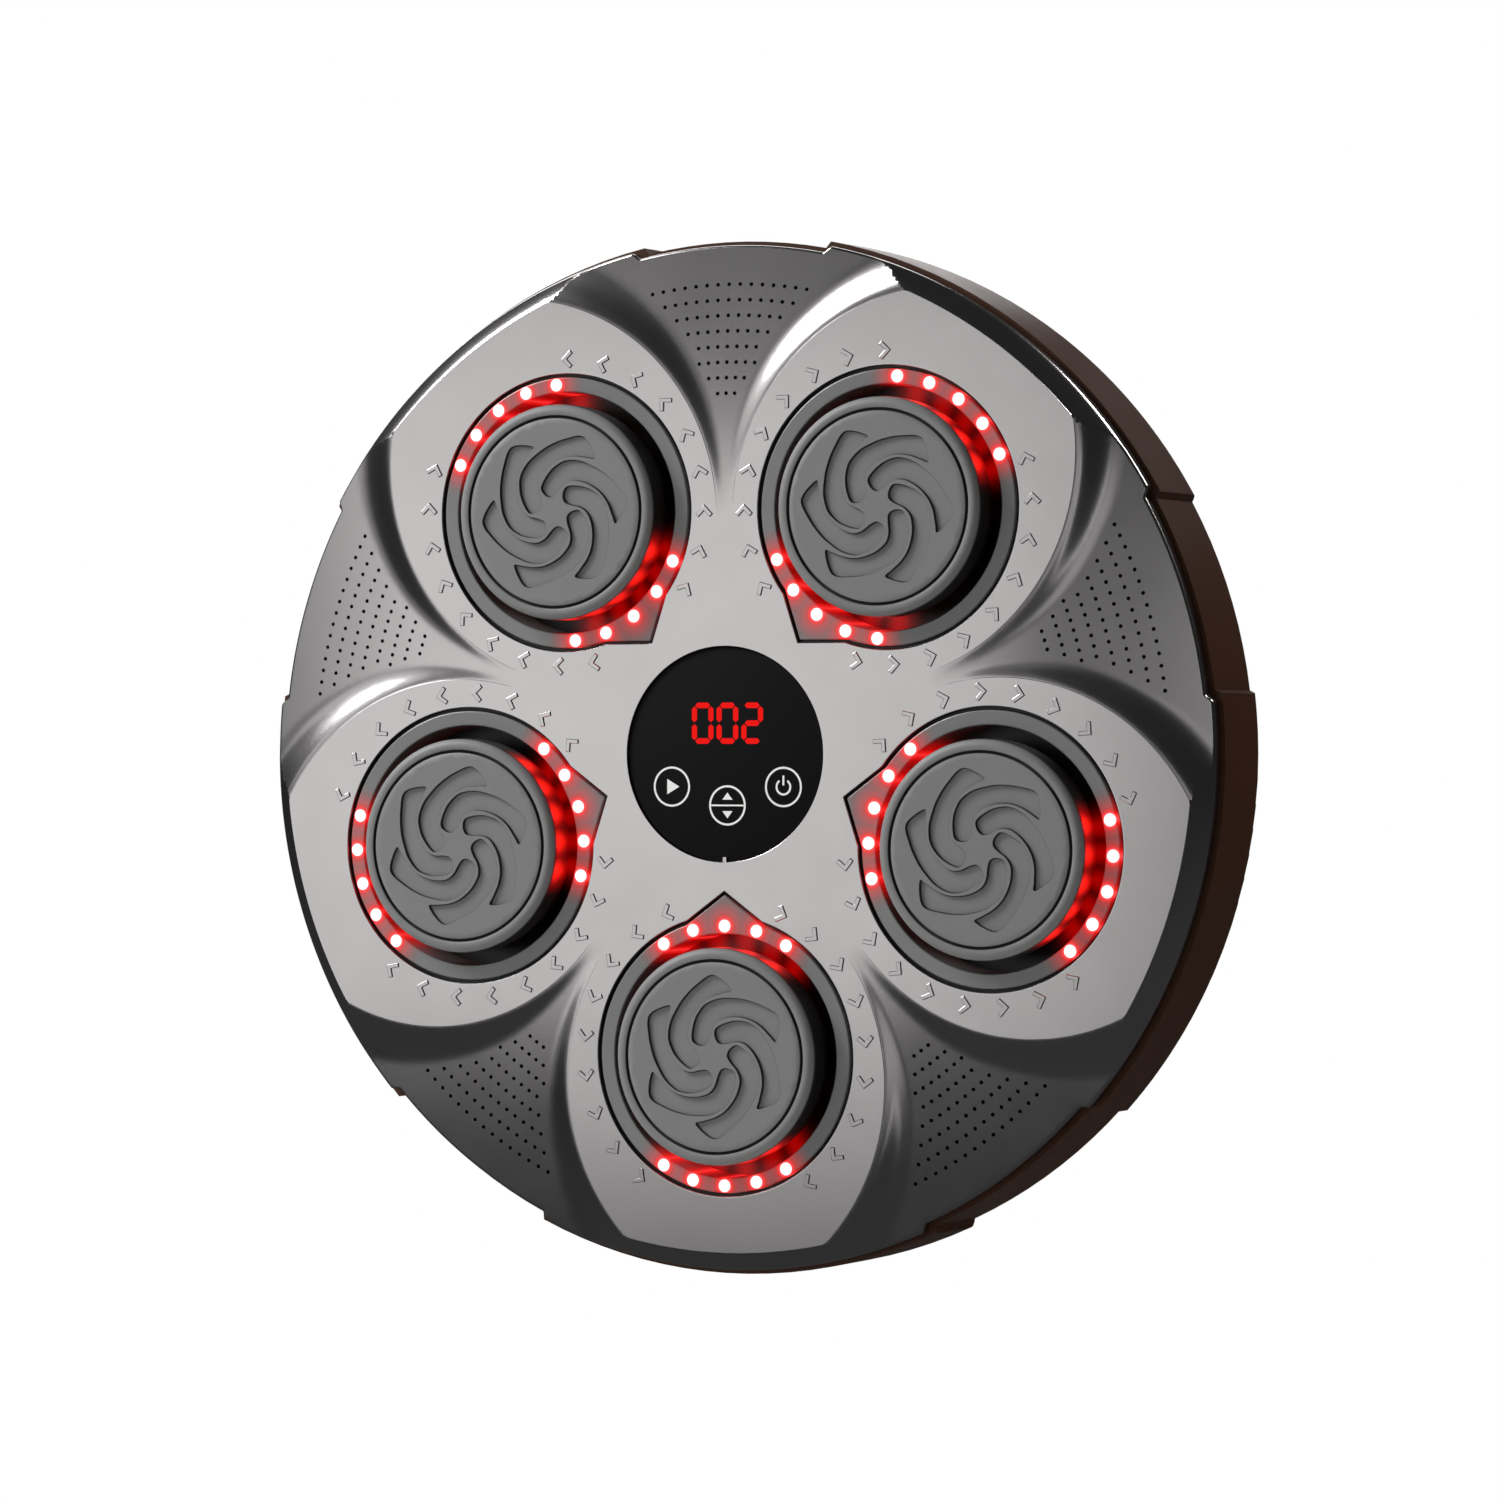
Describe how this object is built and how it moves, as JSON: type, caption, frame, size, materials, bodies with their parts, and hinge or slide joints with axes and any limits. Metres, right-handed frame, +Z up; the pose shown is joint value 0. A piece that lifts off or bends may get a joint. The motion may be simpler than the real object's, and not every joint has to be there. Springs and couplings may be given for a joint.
{
  "type": "boxing punch machine",
  "caption": "Round wall-hung boxing trainer: sprung punch pads in lit rings on a petalled silver case, with a round touch display in the middle.",
  "frame": {"origin": "centre of the flat back, on the wall's plane", "axes": "+Z up, -Y out of the wall towards the player, +X to the player's right"},
  "size_m": [0.4036, 0.0598, 0.4008],
  "materials": {
    "silver_cover": "satin metallic lacquer on moulded ABS",
    "dark_housing": "moulded ABS, dark brown-black, semi-gloss",
    "black_lens": "polished black acrylic with thin white printing",
    "black_plastic": "moulded ABS, black",
    "red_light": "lit red segments",
    "spring_steel": "plated spring steel",
    "circuit_board": "solder-masked glass-fibre board",
    "cable_white": "flat PVC ribbon cable",
    "battery_wrap": "shrink-wrapped cells",
    "speaker_paper": "pressed paper cone",
    "screw_steel": "black-plated steel",
    "led_light": "lit red light-emitting diodes",
    "sensor_brass": "piezo disc",
    "bump_rubber": "moulded rubber",
    "smoke_ring": "smoke-tinted translucent polycarbonate",
    "pad_grey": "moulded grey silicone rubber, matte"
  },
  "bodies": {
    "case": {"front_cover": "silver_cover", "rear_housing": "dark_housing", "display_lens": "black_lens", "digit_module": "black_plastic", "digit_segments": "red_light", "touch_springs": "spring_steel", "control_board": "circuit_board", "main_board": "circuit_board", "display_cable": "cable_white", "led_cables": "cable_white", "battery_pack": "battery_wrap", "battery_bracket": "spring_steel", "speaker_frame": "black_plastic", "speaker_cone": "speaker_paper", "usb_socket": "spring_steel", "charge_board": "circuit_board", "case_screws": "screw_steel", "cup_screws": "screw_steel", "board_screws": "screw_steel", "led_chips": "led_light", "impact_sensors": "sensor_brass", "bump_stops": "bump_rubber", "light_ring_1": "smoke_ring", "light_ring_2": "smoke_ring", "light_ring_3": "smoke_ring", "light_ring_4": "smoke_ring", "light_ring_5": "smoke_ring", "led_board_1": "circuit_board", "led_board_2": "circuit_board", "led_board_3": "circuit_board", "led_board_4": "circuit_board", "led_board_5": "circuit_board", "well_cup_1": "black_plastic", "well_cup_2": "black_plastic", "well_cup_3": "black_plastic", "well_cup_4": "black_plastic", "well_cup_5": "black_plastic", "pad_spring_1": "spring_steel", "pad_spring_2": "spring_steel", "pad_spring_3": "spring_steel", "pad_spring_4": "spring_steel", "pad_spring_5": "spring_steel"},
    "pad_1": {"pad_cushion_1": "pad_grey", "pad_carrier_1": "black_plastic", "stop_screws_1": "screw_steel"},
    "pad_2": {"pad_cushion_2": "pad_grey", "pad_carrier_2": "black_plastic", "stop_screws_2": "screw_steel"},
    "pad_3": {"pad_cushion_3": "pad_grey", "pad_carrier_3": "black_plastic", "stop_screws_3": "screw_steel"},
    "pad_4": {"pad_cushion_4": "pad_grey", "pad_carrier_4": "black_plastic", "stop_screws_4": "screw_steel"},
    "pad_5": {"pad_cushion_5": "pad_grey", "pad_carrier_5": "black_plastic", "stop_screws_5": "screw_steel"}
  },
  "joints": [
    {"name": "pad_press_1", "type": "slide", "parent": "case", "child": "pad_1", "axis": [0, 1, 0], "range_m": [0, 0.006], "stiffness_N_per_m": 2500, "springref_m": -0.002, "deforming": ["pad_spring_1"]},
    {"name": "pad_press_2", "type": "slide", "parent": "case", "child": "pad_2", "axis": [0, 1, 0], "range_m": [0, 0.006], "stiffness_N_per_m": 2500, "springref_m": -0.002, "deforming": ["pad_spring_2"]},
    {"name": "pad_press_3", "type": "slide", "parent": "case", "child": "pad_3", "axis": [0, 1, 0], "range_m": [0, 0.006], "stiffness_N_per_m": 2500, "springref_m": -0.002, "deforming": ["pad_spring_3"]},
    {"name": "pad_press_4", "type": "slide", "parent": "case", "child": "pad_4", "axis": [0, 1, 0], "range_m": [0, 0.006], "stiffness_N_per_m": 2500, "springref_m": -0.002, "deforming": ["pad_spring_4"]},
    {"name": "pad_press_5", "type": "slide", "parent": "case", "child": "pad_5", "axis": [0, 1, 0], "range_m": [0, 0.006], "stiffness_N_per_m": 2500, "springref_m": -0.002, "deforming": ["pad_spring_5"]}
  ]
}
